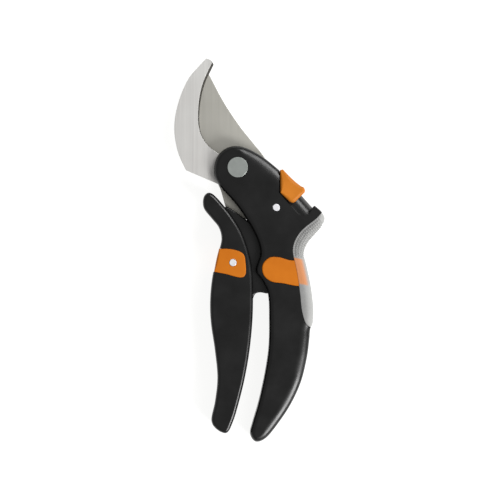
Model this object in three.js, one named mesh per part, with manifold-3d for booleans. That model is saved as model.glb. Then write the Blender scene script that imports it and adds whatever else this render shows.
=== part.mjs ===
// A bypass pruner, shut and locked, lying on its back. Millimetres: X runs across the tool, +Y
// towards the blade tips, and +Z up from the resting face. The origin is on the pivot's axis, on
// the back face of the pivot nut.
import * as THREE from 'three';
import { mergeVertices } from 'three/addons/utils/BufferGeometryUtils.js';
import Module from 'manifold-3d';

const wasm = await Module();
wasm.setup();

// Overall sizes
const THICK = 20;               // handles, from back face to front face
const SPLIT = THICK / 2;        // parting plane of the moulded halves
const GAP = 0.3;                // room between pieces that fit together
const EDGE = 2;                 // rounding of the body's moulded edges
const GRIP_EDGE = 1.2;          // rounding of the finger grip's
const PAST = 5;                 // how far a cutting tool runs past what it cuts
const FAR = 60;                 // how far an open slot's outline runs out of the handle

// Plates and their layers
const BLADE_Z = 7.1;
const BLADE_T = 2.7;
const HOOK_Z = 10.2;
const HOOK_T = 3.2;
const LEVER_Z = 5.5;
const LEVER_T = 9;
const BOSS_R = 16.8;            // round back of the blade about the pivot
const BORE_GAP = 0.1;           // running clearance of the pivot

// Pivot and pins, as places in the plan
const HOOK_PIN = [22.6, -23.5];
const GRIP_PIN = [-2.8, -55.8];
const BARREL_R = 4;
const BOLT_R = 2.6;
const HEAD_R = 5.9;
const HEAD_T = 1.8;
const HEAD_PROUD = 0.6;
const NUT_T = 1.2;
const PIN_R = 2.05;
const PIN_PROUD = 0.2;

// Thumb lock: it slides along its own s axis, and n points out of the head's edge
const SLIDE_TURN = THREE.MathUtils.degToRad(-48.7);
const SLIDE_TRAVEL = 7;
const RAIL_Z = 4.3;             // back face of the rail; its front face is as far below the front
const RAIL_N = 18;              // outer edge of the rail
const TRACK_END = 46.6;
const LOCK_BACK = 0.3;
const LOCK_PROUD = 0.4;
const TONGUE = { from: 13.5, to: 31, low: 9.7, high: 12.7 };
const CROSS_PIN = [28.6, 11.2];
const CROSS_PIN_R = 1.2;
const CROSS_PIN_DEPTH = 1.2;    // how far it is let into each cheek of the slider

// Coloured bands let into the handles
const BAND_T = 1.2;

const STEPS = 2;                // straight steps to one span of a curved outline

function steel(color, roughness) {
  return new THREE.MeshStandardMaterial({ color, roughness, metalness: 1 });
}

function plastic(color, roughness) {
  return new THREE.MeshStandardMaterial({ color, roughness, metalness: 0 });
}

// A closed outline. Each run is a smooth curve through its points, a run of two is straight, and
// runs meet at corners.
function outline(...runs) {
  const shape = new THREE.Shape();
  shape.moveTo(...runs[0][0]);
  for (const run of runs) {
    const points = run.slice(1).map(([x, y]) => new THREE.Vector2(x, y));
    if (points.length === 1) shape.lineTo(points[0].x, points[0].y);
    else shape.splineThru(points);
  }
  return shape;
}

// A closed outline of straight sides.
function polygon(points) {
  return new THREE.Shape(points.map(([x, y]) => new THREE.Vector2(x, y)));
}

function shifted(points, dx) {
  return points.map(([x, y]) => [x + dx, y]);
}

function solid(geometry) {
  geometry.deleteAttribute('normal');
  geometry.deleteAttribute('uv');
  const merged = mergeVertices(geometry, 1e-4);
  return new wasm.Manifold(new wasm.Mesh({
    numProp: 3,
    vertProperties: new Float32Array(merged.attributes.position.array),
    triVerts: new Uint32Array(merged.index.array),
  }));
}

// A flat-topped slab of an outline, between two heights; grow moves its wall outwards.
function slab(shape, bottom, top, grow = 0) {
  const geometry = new THREE.ExtrudeGeometry(shape, {
    depth: top - bottom,
    curveSegments: STEPS,
    bevelSegments: 0,
    bevelThickness: 0,
    bevelSize: grow,
  });
  geometry.translate(0, 0, bottom);
  return solid(geometry);
}

// The same with rounded rims, inside the outline.
function rounded(shape, bottom, top, edge) {
  const geometry = new THREE.ExtrudeGeometry(shape, {
    depth: top - bottom - 2 * edge,
    curveSegments: STEPS,
    bevelSegments: 2,
    bevelThickness: edge,
    bevelSize: edge,
    bevelOffset: -edge,
  });
  geometry.translate(0, 0, bottom + edge);
  return solid(geometry);
}

// A round slab about a vertical axis.
function disc([x, y], radius, bottom, top, sides = 24) {
  const geometry = new THREE.CylinderGeometry(radius, radius, top - bottom, sides);
  geometry.rotateX(Math.PI / 2);
  geometry.translate(x, y, (bottom + top) / 2);
  return solid(geometry);
}

// A slab drawn in the lock's own s and n directions.
function slideSlab(shape, bottom, top, grow = 0) {
  return slab(shape, bottom, top, grow).rotate([0, 0, THREE.MathUtils.radToDeg(SLIDE_TURN)]);
}

function half(piece, front) {
  const low = front ? SPLIT + GAP / 2 : -PAST;
  const high = front ? THICK + PAST : SPLIT - GAP / 2;
  const keep = new THREE.BoxGeometry(4 * FAR, 8 * FAR, high - low);
  keep.translate(0, 0, (low + high) / 2);
  return piece.intersect(solid(keep));
}

function named(name, piece, material) {
  const result = piece.getMesh();
  const geometry = new THREE.BufferGeometry();
  geometry.setAttribute('position', new THREE.BufferAttribute(result.vertProperties, result.numProp));
  geometry.setIndex(new THREE.BufferAttribute(result.triVerts, 1));
  geometry.computeVertexNormals();
  const mesh = new THREE.Mesh(geometry, material);
  mesh.name = name;
  return mesh;
}

// Outlines shared by a piece and the pocket it sits in

// Hooked counter-blade: beak, heel and the root that the head holds.
const hookShape = outline(
  [[-18.5, 64.4], [-23.2, 59.4], [-28.7, 52.8], [-33.1, 43.7], [-36.3, 33], [-37.4, 23], [-36.2, 13],
    [-33.8, 5.4], [-30.5, -1.5]],
  [[-30.5, -1.5], [-13.1, -8.9]],
  [[-13.1, -8.9], [-6, -12.4], [4, -19], [14, -27.4], [22.4, -30], [28.6, -26], [28, -19], [20, -11],
    [14.2, -2], [9, 6], [0, 9.6], [-11.3, 8.4]],
  [[-11.3, 8.4], [-17, 12.6], [-21.4, 19], [-23.2, 27], [-22.8, 39], [-20.4, 50], [-15.2, 61.6]],
  [[-15.2, 61.6], [-15.9, 63.4], [-18.5, 64.4]],
);

// Cutting blade: bevelled belly behind the hook, straight spine, round back and riveted tang.
const bladeShape = outline(
  [[-17.4, 56], [-8.4, 39], [0.4, 25.6], [7, 17.2], [13.4, 9.4], [15.9, 5.9]],
  [[15.9, 5.9], [15.9, 3.8], [15.7, -1], [15, -4.6], [12.6, -9.3]],
  [[12.6, -9.3], [8, -15], [5.6, -24], [4.6, -35], [4.6, -46], [2.4, -56], [-2.8, -60.8],
    [-7.6, -56.4], [-5, -48], [-3.4, -40], [-5, -30], [-7.4, -22.4], [-10, -13.3], [-12, -8.6],
    [-13.4, -2]],
  [[-13.4, -2], [-17.4, 8], [-23, 16], [-25.8, 27], [-25.2, 38], [-22.4, 48], [-17.4, 56]],
);

// Lever core, moulded round the tang.
const leverShape = outline(
  [[-11, -25.5], [-6.8, -23], [-0.5, -26.6], [5.9, -31.3], [13, -36.4], [19.5, -44.5],
    [23, -55], [23.4, -66], [21.5, -74]],
  [[21.5, -74], [16.6, -74]],
  [[16.6, -74], [13, -73.4], [10.2, -74.4], [8.6, -78], [6, -82.4], [0, -84.2], [-6, -81.6],
    [-9.6, -74], [-10, -66], [-9.3, -57], [-6.6, -48], [-5.6, -40], [-7, -33], [-11, -25.5]],
);

// Head and palm handle together with the pad on its outer edge.
const bodyShape = outline(
  [[-9.4, -12.4], [-13, -7.2], [-14, -1.6], [-12.6, 5.2], [-8.8, 10], [-3.6, 12.4], [2, 12.4],
    [8.4, 9.9], [16, 5.2], [24.1, -1.4]],
  [[24.1, -1.4], [45, -22.2]],
  [[45, -22.2], [49.4, -26.2], [51, -30], [49, -35], [44.6, -40], [40.6, -45], [38.9, -51], [40.6, -59],
    [42.8, -69], [44, -79], [44.5, -88], [42.6, -94.6], [42, -101], [40.5, -112], [37, -126], [31, -139], [23.6, -150.2],
    [16.6, -158.6], [10.6, -160.8], [7.3, -156.4], [8.6, -150.2], [12.3, -137.4], [15.9, -121],
    [18.1, -106], [18.5, -90], [17.9, -75], [14.6, -66.8], [10.6, -60.4], [13.2, -50.4],
    [11.2, -41.6], [5.9, -31.6], [-0.9, -21.7], [-9.4, -12.4]],
);

// What the soft pad takes of that shape: everything outside its inner line.
const padLine = [[49.2, -26.6], [45.4, -30.6], [39.8, -34.9], [35.6, -39.4], [32.9, -44.9],
  [32.4, -50.2], [33.9, -57], [35.4, -65], [36.6, -74], [37.7, -84], [39.8, -91], [42.8, -93.8]];
const padRegion = outline(
  padLine,
  [[42.8, -93.8], [FAR, -93.8]],
  [[FAR, -93.8], [FAR, -26.6]],
  [[FAR, -26.6], [49.2, -26.6]],
);

// Finger grip, from its horn round the butt and back.
const gripShape = outline(
  [[-11.1, -19], [-14.4, -15.8], [-16.8, -14.8], [-18.6, -15.5], [-19.9, -17.4], [-20.4, -20.6],
    [-19.5, -24.6], [-15.2, -30], [-11, -35.4], [-9.5, -42], [-11.2, -49.6], [-13.6, -58],
    [-15.4, -68], [-16.2, -80], [-15.6, -92], [-13.4, -107], [-11.9, -123], [-13.3, -137],
    [-15.3, -146.2], [-15, -150], [-13.3, -152.6], [-10.4, -154.8], [-7.2, -155.8], [-5.3, -154.6],
    [-3.7, -151.4], [-0.8, -143.1], [3.6, -126], [6.7, -109], [8.5, -92], [9, -77], [8.6, -62],
    [6.6, -50], [2.4, -38.1], [-3.7, -28.1], [-11.1, -19]],
);

// Band round the finger grip: its outer edge follows the grip's, set in a little.
const bandEdge = [[-10.9, -47.6], [-12.4, -53.6], [-13.9, -61.2]];
const gripBandShape = outline(
  [[-13.9, -61.2], [-7.3, -62.4], [1.4, -64.5], [4.6, -62.6], [4.6, -56], [3.2, -50.6],
    [-3, -48], [-10.9, -47.6]],
  bandEdge,
);

// Band in the palm handle, with a round end, run up to the pad.
const palmBandShape = outline(
  [[35, -54.6], [30, -54.2], [24.3, -52.6], [18.6, -52.8], [14.6, -57], [15, -62.8], [19.6, -66.8],
    [27, -68], [34, -69.4], [40, -69.4]],
  [[40, -69.4], [40, -54.6]],
  [[40, -54.6], [35, -54.6]],
);

// Thumb slider, in s and n.
const sliderShape = outline(
  [[27.7, 8.9], [31.7, 9.3], [35.4, 9.7], [37.3, 11.4], [37.2, 15], [37, 18]],
  [[37, 18], [36.7, 20.2], [34.6, 21.3], [32.5, 20.5], [28, 19.7], [23.6, 19.3], [18.4, 19.1]],
  [[18.4, 19.1], [17.6, 17.6]],
  [[17.6, 17.6], [27.7, 8.9]],
);

// Room for its cheeks and their travel, with a round end, and the strip off the rail's edge.
const trackShape = outline(
  [[17.3, 17.4], [27.5, 8.5]],
  [[27.5, 8.5], [43, 8.8]],
  [[43, 8.8], [45.6, 9.8], [47.4, 11.9], [47.8, 14.2], [TRACK_END, RAIL_N]],
  [[TRACK_END, RAIL_N], [TRACK_END, FAR]],
  [[TRACK_END, FAR], [17.3, FAR]],
  [[17.3, FAR], [17.3, 17.4]],
);
const railEdge = polygon([
  [17.3, RAIL_N], [TRACK_END, RAIL_N], [TRACK_END, FAR], [17.3, FAR]]);

const tongueShape = polygon([
  [TONGUE.from, TONGUE.low], [TONGUE.to, TONGUE.low],
  [TONGUE.to, TONGUE.high], [TONGUE.from - 1, TONGUE.high]]);

const tongueTrack = polygon([
  [0, TONGUE.low - GAP], [TONGUE.to + SLIDE_TRAVEL + 2 * GAP, TONGUE.low - GAP],
  [TONGUE.to + SLIDE_TRAVEL + 2 * GAP, TONGUE.high + GAP], [0, TONGUE.high + GAP]]);

const bodyScrews = [[30, -35], [29.5, -78.5], [14, -151.5]];
const gripScrews = [[-4, -94], [-9, -147]];

// Hook and blade

function hook() {
  let plate = slab(hookShape, HOOK_Z, HOOK_Z + HOOK_T);
  plate = plate.subtract(disc([0, 0], BARREL_R + BORE_GAP, 0, THICK));
  plate = plate.subtract(disc(HOOK_PIN, PIN_R + BORE_GAP, 0, THICK));
  return named('hook', plate, steel(0xcdcbc8, 0.35));
}

function cuttingBlade() {
  let plate = slab(bladeShape, BLADE_Z, BLADE_Z + BLADE_T);
  plate = plate.subtract(disc([0, 0], BARREL_R + BORE_GAP, 0, THICK));
  plate = plate.subtract(disc(GRIP_PIN, PIN_R + BORE_GAP, 0, THICK));
  for (const place of rivetPlaces) plate = plate.subtract(disc(place, RIVET_R + BORE_GAP, 0, THICK));
  return named('cutting_blade', plate, steel(0xa09e96, 0.4));
}

const RIVET_R = 1.6;
const RIVET_HEAD_R = 2.6;
const RIVET_HEAD_T = 0.8;
const rivetPlaces = [[0, -40.5], [0.8, -48.4]];

function leverCore() {
  const top = LEVER_Z + LEVER_T;
  let core = slab(leverShape, LEVER_Z, top);
  core = core.subtract(slab(bladeShape, BLADE_Z - GAP, BLADE_Z + BLADE_T + GAP, GAP));
  core = core.subtract(disc(GRIP_PIN, PIN_R + BORE_GAP, 0, THICK));
  for (const place of rivetPlaces) {
    core = core.subtract(disc(place, RIVET_R + BORE_GAP, 0, THICK));
    core = core.subtract(disc(place, RIVET_HEAD_R + GAP, top - RIVET_HEAD_T - GAP, THICK));
    core = core.subtract(disc(place, RIVET_HEAD_R + GAP, 0, LEVER_Z + RIVET_HEAD_T + GAP));
  }
  return named('lever_core', core, plastic(0x242424, 0.5));
}

function tangRivets() {
  const top = LEVER_Z + LEVER_T;
  return rivetPlaces.map((place, index) => {
    let rivet = disc(place, RIVET_R, LEVER_Z, top, 16);
    rivet = rivet.add(disc(place, RIVET_HEAD_R, top - RIVET_HEAD_T, top, 16));
    rivet = rivet.add(disc(place, RIVET_HEAD_R, LEVER_Z, LEVER_Z + RIVET_HEAD_T, 16));
    return named(`tang_rivet_${index + 1}`, rivet, steel(0xb8b8b4, 0.35));
  });
}

// Pivot: a closed sleeve nut from the back, whose barrel is the bearing, and a bolt from the front

const BARREL_TOP = 17.6;
const NUT_R = 5.6;
const WASHER_R = 8;
const WASHER_T = 0.26;
const THREAD_FLOOR = 2.7;       // closed end of the sleeve nut
const BOLT_END = 3.2;

function pivotNut() {
  const flange = disc([0, 0], NUT_R, 0, NUT_T);
  const barrel = disc([0, 0], BARREL_R, NUT_T / 2, BARREL_TOP);
  const thread = disc([0, 0], BOLT_R + GAP, THREAD_FLOOR, THICK);
  return named('pivot_nut', flange.add(barrel).subtract(thread), steel(0x8f9893, 0.4));
}

function pivotBolt() {
  const top = THICK + HEAD_PROUD;
  const head = disc([0, 0], HEAD_R, top - HEAD_T, top, 36);
  const shaft = disc([0, 0], BOLT_R, BOLT_END, top - HEAD_T / 2);
  return named('pivot_bolt', head.add(shaft), steel(0x8f9893, 0.4));
}

function washer(name, bottom) {
  const ring = disc([0, 0], WASHER_R, bottom, bottom + WASHER_T);
  const bore = disc([0, 0], BARREL_R + BORE_GAP, 0, THICK);
  return named(name, ring.subtract(bore), steel(0xc9b37a, 0.4));
}

function washers() {
  const overBlade = (BLADE_Z + BLADE_T + HOOK_Z - WASHER_T) / 2;
  const underBlade = BLADE_Z - WASHER_T - (BLADE_Z - SLOT_FLOOR - WASHER_T) / 2;
  return [washer('hook_washer', overBlade), washer('back_washer', underBlade)];
}

// Opening spring: a torsion coil round the barrel, under the blade.
const SPRING_WIRE_R = 0.6;
const SPRING_R = 5.5;
const SPRING_TURNS = 2.2;
const SPRING_Z = [3.1, 5.9];
const SPRING_LEG = 4;

class SpringPath extends THREE.Curve {
  getPoint(t, target = new THREE.Vector3()) {
    const coiled = SPRING_TURNS * 2 * Math.PI * SPRING_R;
    const along = t * (coiled + 2 * SPRING_LEG) - SPRING_LEG;
    const onCoil = THREE.MathUtils.clamp(along, 0, coiled);
    const past = along - onCoil;
    const angle = onCoil / SPRING_R;
    const height = THREE.MathUtils.lerp(...SPRING_Z, onCoil / coiled);
    return target.set(
      SPRING_R * Math.cos(angle) - past * Math.sin(angle),
      SPRING_R * Math.sin(angle) + past * Math.cos(angle),
      height);
  }
}

function torsionSpring() {
  const section = new THREE.Shape();
  section.absarc(0, 0, SPRING_WIRE_R, 0, 2 * Math.PI);
  const geometry = new THREE.ExtrudeGeometry(section, {
    steps: 40,
    curveSegments: 3,
    extrudePath: new SpringPath(),
  });
  return named('torsion_spring', solid(geometry), steel(0x9a9a98, 0.35));
}

// Head and palm handle: two moulded halves, screwed together from the back

const SLOT_FLOOR = BLADE_Z - GAP;
const SPRING_POCKET_R = 7.6;
const SHELL_WALL = 3;

// The blade's layer in the head: round its back, and open on the side that the tang swings to.
function bladeRoom() {
  const backRoom = disc([0, 0], BOSS_R + 2 * GAP, SLOT_FLOOR, SPLIT, 40);
  const tangRoom = slab(polygon([
    [12.4, -10], [9, -15.6], [6.6, -24], [6.4, -34], [-FAR, -34], [-FAR, FAR], [0, FAR],
  ]), SLOT_FLOOR, SPLIT);
  return backRoom.add(tangRoom);
}

// The slot in the palm handle that the lever core shuts into.
function leverRoom() {
  return slab(outline(
    [[-FAR, -20], [-1, -25]],
    [[-1, -25], [6.4, -30], [14, -35.2], [20.6, -43.6], [24.2, -54], [24.8, -66], [23.4, -75.6]],
    [[23.4, -75.6], [15, -78.4]],
    [[15, -78.4], [-FAR, -78.4]],
    [[-FAR, -78.4], [-FAR, -20]],
  ), LEVER_Z - GAP, LEVER_Z + LEVER_T + GAP);
}

function palmHollow() {
  return slab(outline(
    [[23.6, -85], [34.6, -85]],
    [[34.6, -85], [36, -98], [33, -115], [26.4, -132], [18.6, -142]],
    [[18.6, -142], [16.8, -138], [20, -124], [22.6, -108], [23.6, -85]],
  ), SHELL_WALL, THICK - SHELL_WALL);
}

const SCREW_R = 1.4;
const SCREW_HEAD_R = 2.9;
const SCREW_Z = [0.6, 15.5];
const SCREW_HEAD_T = 2;
const DRIVE = { long: 1.4, wide: 0.9, floor: 1.6 };   // half sizes of the slot in the head

function screwHole(place) {
  const shaft = disc(place, SCREW_R + GAP, 0, SCREW_Z[1] + GAP);
  return shaft.add(disc(place, SCREW_HEAD_R + GAP, -PAST, SCREW_Z[0] + SCREW_HEAD_T + GAP));
}

function screw(name, place) {
  const shaft = disc(place, SCREW_R, SCREW_Z[0] + SCREW_HEAD_T / 2, SCREW_Z[1], 20);
  const head = disc(place, SCREW_HEAD_R, SCREW_Z[0], SCREW_Z[0] + SCREW_HEAD_T, 24);
  const { long, wide, floor } = DRIVE;
  const drive = slab(polygon([[-long, -wide], [long, -wide], [long, wide], [-long, wide]]), -PAST, floor);
  return named(name, shaft.add(head).subtract(drive.translate([...place, 0])), steel(0x4a4a4a, 0.4));
}

function bodyShell(name, front) {
  let shell = half(rounded(bodyShape, 0, THICK, EDGE), front);
  const cuts = [
    slab(padRegion, -PAST, THICK + PAST, GAP),
    slab(hookShape, SPLIT, HOOK_Z + HOOK_T + GAP, GAP),
    bladeRoom(),
    leverRoom(),
    palmHollow(),
    disc([0, 0], BARREL_R + GAP, -PAST, THICK + PAST),
    disc([0, 0], HEAD_R + GAP, THICK + HEAD_PROUD - HEAD_T - GAP, THICK + PAST),
    disc([0, 0], NUT_R + GAP, -PAST, NUT_T + GAP),
    disc([0, 0], SPRING_POCKET_R, SPRING_Z[0] - SPRING_WIRE_R - GAP, SPLIT),
    disc(HOOK_PIN, PIN_R + GAP, -PAST, THICK + PAST),
    slideSlab(trackShape, THICK - RAIL_Z, THICK + PAST),
    slideSlab(trackShape, -PAST, RAIL_Z),
    slideSlab(railEdge, -PAST, THICK + PAST),
    slideSlab(tongueTrack, SLOT_FLOOR, SPLIT),
    slideSlab(crossPinSlot, 0, THICK),
    slideSlab(detentPocket, DETENT_Z - GAP, THICK),
    slab(palmBandShape, THICK - BAND_T - GAP, THICK + PAST, GAP),
    slab(palmBandShape, -PAST, BAND_T + GAP, GAP),
    ...bodyScrews.map(screwHole),
  ];
  for (const cut of cuts) shell = shell.subtract(cut);
  return named(name, shell, plastic(0x242424, 0.45));
}

function palmPad() {
  const pad = rounded(bodyShape, 0, THICK, EDGE).intersect(slab(padRegion, -PAST, THICK + PAST));
  return named('palm_pad', pad, plastic(0xb4b4b2, 0.7));
}

function palmBands() {
  const clear = slab(padRegion, -PAST, THICK + PAST, 2 * GAP);
  const front = slab(palmBandShape, THICK - BAND_T, THICK).subtract(clear);
  const back = slab(palmBandShape, 0, BAND_T).subtract(clear);
  const orange = plastic(0xd87a18, 0.55);
  return [named('palm_band_front', front, orange), named('palm_band_back', back, orange.clone())];
}

function hookPin() {
  return named('hook_pin', pin(HOOK_PIN), steel(0xe1e1e6, 0.2));
}

function pin([x, y]) {
  const low = PIN_PROUD;
  const high = THICK + PIN_PROUD;
  const lip = 0.4;
  const profile = [[0, low], [PIN_R - lip, low], [PIN_R, low + lip], [PIN_R, high - lip],
    [PIN_R - lip, high], [0, high]].map(([r, z]) => new THREE.Vector2(r, z));
  const geometry = new THREE.LatheGeometry(profile, 24);
  geometry.rotateX(Math.PI / 2);
  geometry.translate(x, y, 0);
  return solid(geometry);
}

// Thumb lock: a saddle over the rail, pinned through it to a steel bolt inside

const crossPinSlot = polygon([
  [CROSS_PIN[0] - CROSS_PIN_R - GAP, CROSS_PIN[1] - CROSS_PIN_R - GAP],
  [CROSS_PIN[0] + SLIDE_TRAVEL + CROSS_PIN_R + GAP, CROSS_PIN[1] - CROSS_PIN_R - GAP],
  [CROSS_PIN[0] + SLIDE_TRAVEL + CROSS_PIN_R + GAP, CROSS_PIN[1] + CROSS_PIN_R + GAP],
  [CROSS_PIN[0] - CROSS_PIN_R - GAP, CROSS_PIN[1] + CROSS_PIN_R + GAP]]);

function crossPinDisc(radius, bottom, top) {
  const turn = THREE.MathUtils.radToDeg(SLIDE_TURN);
  return disc(CROSS_PIN, radius, bottom, top, 16).rotate([0, 0, turn]);
}

function lockSlider() {
  const cheek = RAIL_Z - GAP;
  const pinEnd = cheek - CROSS_PIN_DEPTH - GAP;
  const overRail = polygon([[0, 0], [FAR, 0], [FAR, RAIL_N + GAP], [0, RAIL_N + GAP]]);
  let slider = slideSlab(sliderShape, LOCK_BACK, THICK + LOCK_PROUD);
  slider = slider.subtract(slideSlab(overRail, cheek, THICK - cheek));
  slider = slider.subtract(crossPinDisc(CROSS_PIN_R + GAP, pinEnd, THICK - pinEnd));
  return named('lock_slider', slider, plastic(0xde872d, 0.45));
}

function lockBolt() {
  const bolt = slideSlab(tongueShape, BLADE_Z, BLADE_Z + BLADE_T);
  const eye = crossPinDisc(CROSS_PIN_R + BORE_GAP, 0, THICK);
  return named('lock_bolt', bolt.subtract(eye), steel(0xa8a8a4, 0.35));
}

function lockPin() {
  const end = RAIL_Z - GAP - CROSS_PIN_DEPTH;
  return named('lock_pin', crossPinDisc(CROSS_PIN_R, end, THICK - end), steel(0xa8a8a4, 0.35));
}

// A bowed leaf let into the rail, under the slider, that it clicks over.
const DETENT_Z = 14.3;
const DETENT_WIDTH = 2.4;
const DETENT_N = 16.3;
const DETENT_FROM = 26.6;
const DETENT_LENGTH = 9.8;
const DETENT_T = 0.4;
const DETENT_BOW = 0.7;
const detentPocket = polygon([
  [DETENT_FROM - GAP, DETENT_N - DETENT_WIDTH - GAP],
  [DETENT_FROM + DETENT_LENGTH + GAP, DETENT_N - DETENT_WIDTH - GAP],
  [DETENT_FROM + DETENT_LENGTH + GAP, DETENT_N + GAP],
  [DETENT_FROM - GAP, DETENT_N + GAP]]);

function detentSpring() {
  const bow = [0, 0, 1, 0, 0].map((lift, index) => [
    DETENT_FROM + index * DETENT_LENGTH / 4, DETENT_Z + lift * DETENT_BOW]);
  const upper = bow.map(([s, z]) => [s, z + DETENT_T]).reverse();
  const profile = outline(bow, [bow.at(-1), upper[0]], upper, [upper.at(-1), bow[0]]);
  const geometry = new THREE.ExtrudeGeometry(profile, {
    depth: DETENT_WIDTH,
    curveSegments: STEPS,
    bevelEnabled: false,
  });
  geometry.rotateX(Math.PI / 2);
  geometry.translate(0, DETENT_N, 0);
  geometry.rotateZ(SLIDE_TURN);
  return named('lock_detent_spring', solid(geometry), steel(0xb0b0ac, 0.3));
}

// Finger grip: two moulded halves whose cheeks ride on the lever core

const gripRoomShape = outline(
  [[-12, -10], [-15.4, -17], [-16.2, -22]],
  [[-16.2, -22], [-13, -27.6], [-8.9, -34], [-7.4, -41], [-8.6, -48], [-10.9, -57], [-12.4, -66],
    [-12.6, -76], [-9.6, -84], [-2, -87.6], [5, -86], [9.6, -81.6]],
  [[9.6, -81.6], [FAR, -81.6]],
  [[FAR, -81.6], [FAR, -10]],
  [[FAR, -10], [-12, -10]],
);

function gripHollow() {
  return slab(outline(
    [[-10, -101], [2.4, -101]],
    [[2.4, -101], [0.8, -113], [-2.2, -127], [-6, -139]],
    [[-6, -139], [-9.2, -139]],
    [[-9.2, -139], [-7.8, -127], [-9, -113], [-10, -101]],
  ), SHELL_WALL, THICK - SHELL_WALL);
}

// What lies inside the band: its inner edge follows the outer one.
function bandCore(wall) {
  const [top, middle, bottom] = shifted(bandEdge, wall);
  const shape = outline(
    [[top[0], top[1] + PAST], top],
    [top, middle, bottom],
    [bottom, [bottom[0], bottom[1] - PAST]],
    [[bottom[0], bottom[1] - PAST], [FAR, bottom[1] - PAST]],
    [[FAR, bottom[1] - PAST], [FAR, top[1] + PAST]],
    [[FAR, top[1] + PAST], [top[0], top[1] + PAST]],
  );
  return slab(shape, wall, THICK - wall);
}

function gripShell(name, front) {
  let shell = half(rounded(gripShape, 0, THICK, GRIP_EDGE), front);
  const bandRecess = slab(gripBandShape, -PAST, THICK + PAST, GAP).subtract(bandCore(BAND_T + GAP));
  const beyondBand = slab(polygon([...bandEdge, [-FAR, -61.2], [-FAR, -47.6]]), -PAST, THICK + PAST);
  const cuts = [
    slab(gripRoomShape, LEVER_Z - GAP, LEVER_Z + LEVER_T + GAP),
    gripHollow(),
    bandRecess,
    beyondBand,
    disc(GRIP_PIN, PIN_R + GAP, -PAST, THICK + PAST),
    ...gripScrews.map(screwHole),
  ];
  for (const cut of cuts) shell = shell.subtract(cut);
  return named(name, shell, plastic(0x242424, 0.45));
}

// One strap, wrapped from the front cheek round the outer edge to the back cheek.
function gripBand() {
  let band = slab(gripBandShape, 0, THICK).subtract(bandCore(BAND_T));
  band = band.subtract(disc(GRIP_PIN, PIN_R + GAP, -PAST, THICK + PAST));
  return named('grip_band', band, plastic(0xd87a18, 0.55));
}

function gripPin() {
  return named('grip_pin', pin(GRIP_PIN), steel(0xe1e1e6, 0.2));
}

const pruner = new THREE.Group();
pruner.add(
  hook(),
  bodyShell('front_body_shell', true),
  bodyShell('back_body_shell', false),
  palmPad(),
  ...palmBands(),
  pivotBolt(),
  pivotNut(),
  ...washers(),
  torsionSpring(),
  hookPin(),
  detentSpring(),
  ...bodyScrews.map((place, index) => screw(`body_screw_${index + 1}`, place)),
  lockSlider(),
  lockBolt(),
  lockPin(),
  cuttingBlade(),
  leverCore(),
  ...tangRivets(),
  gripShell('grip_front_shell', true),
  gripShell('grip_back_shell', false),
  gripBand(),
  gripPin(),
  ...gripScrews.map((place, index) => screw(`grip_screw_${index + 1}`, place)),
);

export default pruner;
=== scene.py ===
import math

import bmesh
import bpy
import numpy as np
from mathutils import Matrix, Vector


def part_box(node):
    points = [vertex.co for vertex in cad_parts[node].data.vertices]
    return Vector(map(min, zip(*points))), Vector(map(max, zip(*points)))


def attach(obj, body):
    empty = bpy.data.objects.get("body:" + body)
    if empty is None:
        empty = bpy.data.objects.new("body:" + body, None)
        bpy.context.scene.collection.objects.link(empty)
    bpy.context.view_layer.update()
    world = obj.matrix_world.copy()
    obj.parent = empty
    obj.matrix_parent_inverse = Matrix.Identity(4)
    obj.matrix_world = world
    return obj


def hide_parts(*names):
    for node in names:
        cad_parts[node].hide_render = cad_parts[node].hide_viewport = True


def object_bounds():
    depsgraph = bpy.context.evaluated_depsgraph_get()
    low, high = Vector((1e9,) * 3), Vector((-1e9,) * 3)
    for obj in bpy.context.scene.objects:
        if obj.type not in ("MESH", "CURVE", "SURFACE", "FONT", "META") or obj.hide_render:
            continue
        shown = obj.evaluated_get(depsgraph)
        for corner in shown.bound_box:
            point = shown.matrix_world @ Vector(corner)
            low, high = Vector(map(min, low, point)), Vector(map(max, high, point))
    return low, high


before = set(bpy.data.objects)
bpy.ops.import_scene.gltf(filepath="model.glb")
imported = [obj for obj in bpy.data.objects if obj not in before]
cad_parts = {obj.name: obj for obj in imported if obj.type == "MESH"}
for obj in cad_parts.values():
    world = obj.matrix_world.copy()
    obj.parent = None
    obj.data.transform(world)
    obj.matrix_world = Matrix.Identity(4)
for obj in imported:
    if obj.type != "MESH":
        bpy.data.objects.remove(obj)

cad_low, cad_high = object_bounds()
bpy.ops.object.select_all(action="DESELECT")

# ---------------------------------------------------------------------------------------------
# The table the pruner lies on, the lamps over it and the camera.
# A white light table, which leaves hardly any shadow; an even, rather dark studio; and two softboxes
# on the right, for the long highlights on the rounded black edges.

MM = 0.001


def linear(code):
    """An sRGB hex colour as linear RGBA."""
    parts = [int(code[i:i + 2], 16) / 255 for i in (0, 2, 4)]
    return (*(p / 12.92 if p <= 0.04045 else ((p + 0.055) / 1.055) ** 2.4 for p in parts), 1.0)


def add(owner, kind, settings={}, links={}):
    """A node, its settings by attribute or by input, and its links from other nodes' outputs."""
    node = owner.node_tree.nodes.new(kind)
    for name, value in settings.items():
        if isinstance(name, str) and hasattr(node, name):
            setattr(node, name, value)
        else:
            node.inputs[name].default_value = value
    for name, output in links.items():
        owner.node_tree.links.new(output, node.inputs[name])
    return node


def surface(name, settings):
    """A new material of one principled shader, and that shader."""
    material = bpy.data.materials.new(name)
    material.use_nodes = True
    shader = material.node_tree.nodes["Principled BSDF"]
    for key, value in settings.items():
        shader.inputs[key].default_value = value
    return material, shader


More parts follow.
